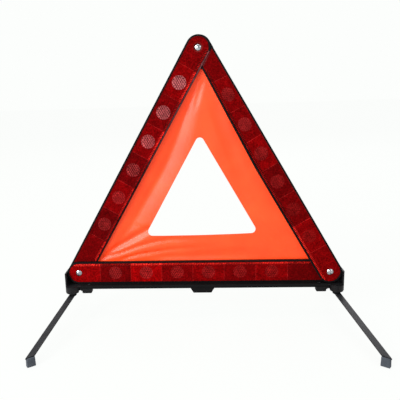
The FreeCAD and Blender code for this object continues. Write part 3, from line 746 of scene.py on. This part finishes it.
def build_cloth():
    outer = densify(rounded(OUTLINE, 1.5, 4), 3.0)
    hole = densify(rounded(HOLE, HOLE_R, 8), 3.0)
    # the lower edge of the opening sags a little and its sides draw in
    bent = []
    for x, z in hole:
        q = max(0.0, 1 - (x / 82.0) ** 2)
        low = max(0.0, 1 - (z - 57.5) / 12.0)
        bent.append((x, z - 1.3 * q * low))
    hole = bent
    p = Plane2D()
    out_ids = p.line(outer, 0.0, closed=True)
    hole_ids = p.line(hole, 0.0, closed=True)
    step = 3.0
    ho = np.array(hole)

    def in_hole(x, z):
        hit = False
        j = len(hole) - 1
        for i in range(len(hole)):
            (xi, zi), (xj, zj) = hole[i], hole[j]
            if (zi > z) != (zj > z) and x < (xj - xi) * (z - zi) / (zj - zi) + xi:
                hit = not hit
            j = i
        return hit

    def clear(x, z):
        e = edge_distance(x, z)
        if e < step * 0.6:
            return False
        d = np.hypot(ho[:, 0] - x, ho[:, 1] - z).min()
        inside = in_hole(x, z)
        return d > step * 0.6 and not inside

    rows = int((318.0 - INSET) / (step * S60))
    for r in range(1, rows + 1):
        z = INSET + r * step * S60
        for c in range(-64, 65):
            x = (c + 0.5 * (r % 2)) * step
            if clear(x, z):
                p.point(x, z)

    def keep(x, z):
        return edge_distance(x, z) > -0.05 and not in_hole(x, z)

    flat, _, tris, first = p.triangles(keep)
    xz = np.array(flat)
    h = folds(xz[:, 0], xz[:, 1])
    mid = panel_y(xz[:, 0], xz[:, 1]) - h
    n = len(flat)
    pts = [(x * MM, (m - PANEL_T / 2) * MM, (z + PIVOT_Z) * MM) for (x, z), m in zip(flat, mid)]
    pts += [(x * MM, (m + PANEL_T / 2) * MM, (z + PIVOT_Z) * MM) for (x, z), m in zip(flat, mid)]
    faces = [list(f) for f in tris] + [[i + n for i in reversed(f)] for f in tris]
    # walls along every open edge of the front
    count = {}
    for f in tris:
        for a, b in zip(f, f[1:] + f[:1]):
            count[(a, b)] = count.get((a, b), 0) + 1
    for (a, b) in list(count):
        if (b, a) not in count:
            faces.append([b, a, a + n, b + n])
    used = sorted({i for f in faces for i in f})
    remap = {k: i for i, k in enumerate(used)}
    pts = [pts[k] for k in used]
    faces = [[remap[i] for i in f] for f in faces]
    ob = new_mesh("cloth_panel", pts, faces, [cloth_mat], smooth=60)
    for f in tris:
        a, b, c = (np.array(flat[i]) for i in f[:3])
    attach(ob, "base")
    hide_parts("fluorescent_panel")
    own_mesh(ob)
    return ob


cloth = build_cloth()

# ------------------------------------------------------------------ the stage
floor_mesh = bpy.data.meshes.new("floor")
floor_mesh.from_pydata([(-9, -9, 0), (9, -9, 0), (9, 9, 0), (-9, 9, 0)], [], [(0, 1, 2, 3)])
floor = bpy.data.objects.new("floor", floor_mesh)
floor.location.z = -0.0002
scene.collection.objects.link(floor)
g = Graph("pale_floor")
g.link(g.ramp(g.noise(3.0, 3.0, 0.5), (0.3, (0.76, 0.775, 0.76, 1)), (0.7, (0.785, 0.80, 0.785, 1))), g.bsdf.inputs["Base Color"])
g.set(Roughness=0.9, Specular_IOR_Level=0.1)
# the paper is white to look at, and throws back only part of the light, like a
# table in a large dim studio
dim = g.node("ShaderNodeBsdfDiffuse")
dim.inputs["Color"].default_value = (0.36, 0.36, 0.36, 1.0)
glow = g.node("ShaderNodeEmission")
glow.inputs["Color"].default_value = (0.975, 0.99, 0.975, 1.0)
paper_look = g.node("ShaderNodeMixShader")
paper_look.inputs[0].default_value = 0.94
g.link(g.bsdf.outputs[0], paper_look.inputs[1])
g.link(glow.outputs[0], paper_look.inputs[2])
look = g.node("ShaderNodeMixShader")
g.link(g.node("ShaderNodeLightPath").outputs["Is Camera Ray"], look.inputs[0])
g.link(dim.outputs[0], look.inputs[1])
g.link(paper_look.outputs[0], look.inputs[2])
g.link(look.outputs[0], next(n for n in g.nt.nodes if n.type == "OUTPUT_MATERIAL").inputs["Surface"])
floor_mesh.materials.append(g.mat)

world = bpy.data.worlds.new("studio")
scene.world = world
world.use_nodes = True
wn = world.node_tree
bg = next(n for n in wn.nodes if n.type == "BACKGROUND")
out_node = next(n for n in wn.nodes if n.type == "OUTPUT_WORLD")
bg.inputs["Color"].default_value = (1.0, 1.0, 1.0, 1.0)      # soft, even room light
bg.inputs["Strength"].default_value = 0.36
paper = wn.nodes.new("ShaderNodeBackground")                  # the white paper behind
paper.inputs["Color"].default_value = (0.975, 0.99, 0.975, 1.0)
paper.inputs["Strength"].default_value = 1.0
seen = wn.nodes.new("ShaderNodeLightPath")
pick = wn.nodes.new("ShaderNodeMixShader")
wn.links.new(seen.outputs["Is Camera Ray"], pick.inputs[0])
wn.links.new(bg.outputs[0], pick.inputs[1])
wn.links.new(paper.outputs[0], pick.inputs[2])
wn.links.new(pick.outputs[0], out_node.inputs["Surface"])


def area_light(name, place_at, aim, size, power, colour=(1, 1, 1)):
    data = bpy.data.lights.new(name, "AREA")
    data.shape = "RECTANGLE"
    data.size, data.size_y = size
    data.energy = power
    data.color = colour
    ob = bpy.data.objects.new(name, data)
    ob.location = place_at
    ob.rotation_euler = (Vector(aim) - Vector(place_at)).to_track_quat("-Z", "Y").to_euler()
    scene.collection.objects.link(ob)
    return ob


area_light("key", (-1.5, -1.35, 1.35), (0, 0, 0.22), (0.7, 0.7), 22)
area_light("side_panel", (-1.5, -1.75, 0.72), (0, 0, 0.25), (0.42, 0.5), 17)
area_light("front_panel", (-0.62, -1.9, 0.92), (-0.1, 0, 0.15), (0.5, 0.4), 7)
area_light("fill", (1.7, -1.5, 1.1), (0, 0, 0.2), (1.2, 1.0), 4)
area_light("back", (0.3, 2.0, 1.6), (0, 0, 0.2), (1.6, 1.0), 14)
top_light = bpy.data.lights.new("ceiling", "SUN")
top_light.energy = 2.0
top_light.angle = math.radians(70)
top_ob = bpy.data.objects.new("ceiling", top_light)
top_ob.location = (0, 0, 3)
scene.collection.objects.link(top_ob)

# ------------------------------------------------------------------ the camera
cam_data = bpy.data.cameras.new("camera")
cam_data.sensor_width = 36.0
cam_data.lens = 511.4 / 400.0 * 36.0
cam_data.shift_x = 0.0875
cam = bpy.data.objects.new("camera", cam_data)
scene.collection.objects.link(cam)
scene.camera = cam
yaw, pitch, roll = math.radians(-3.779), math.radians(12.502), math.radians(-1.944)
fwd = Vector((math.sin(yaw) * math.cos(pitch), math.cos(yaw) * math.cos(pitch), -math.sin(pitch)))
right = Vector((math.cos(yaw), -math.sin(yaw), 0))
up = right.cross(fwd)
r2 = math.cos(roll) * right + math.sin(roll) * up
u2 = -math.sin(roll) * right + math.cos(roll) * up
cam.matrix_world = Matrix(((r2.x, u2.x, -fwd.x, -0.0043), (r2.y, u2.y, -fwd.y, -0.7697), (r2.z, u2.z, -fwd.z, 0.3581), (0, 0, 0, 1)))
cam_data.clip_start = 0.02
cam_data.clip_end = 60.0

scene.view_settings.view_transform = "Standard"
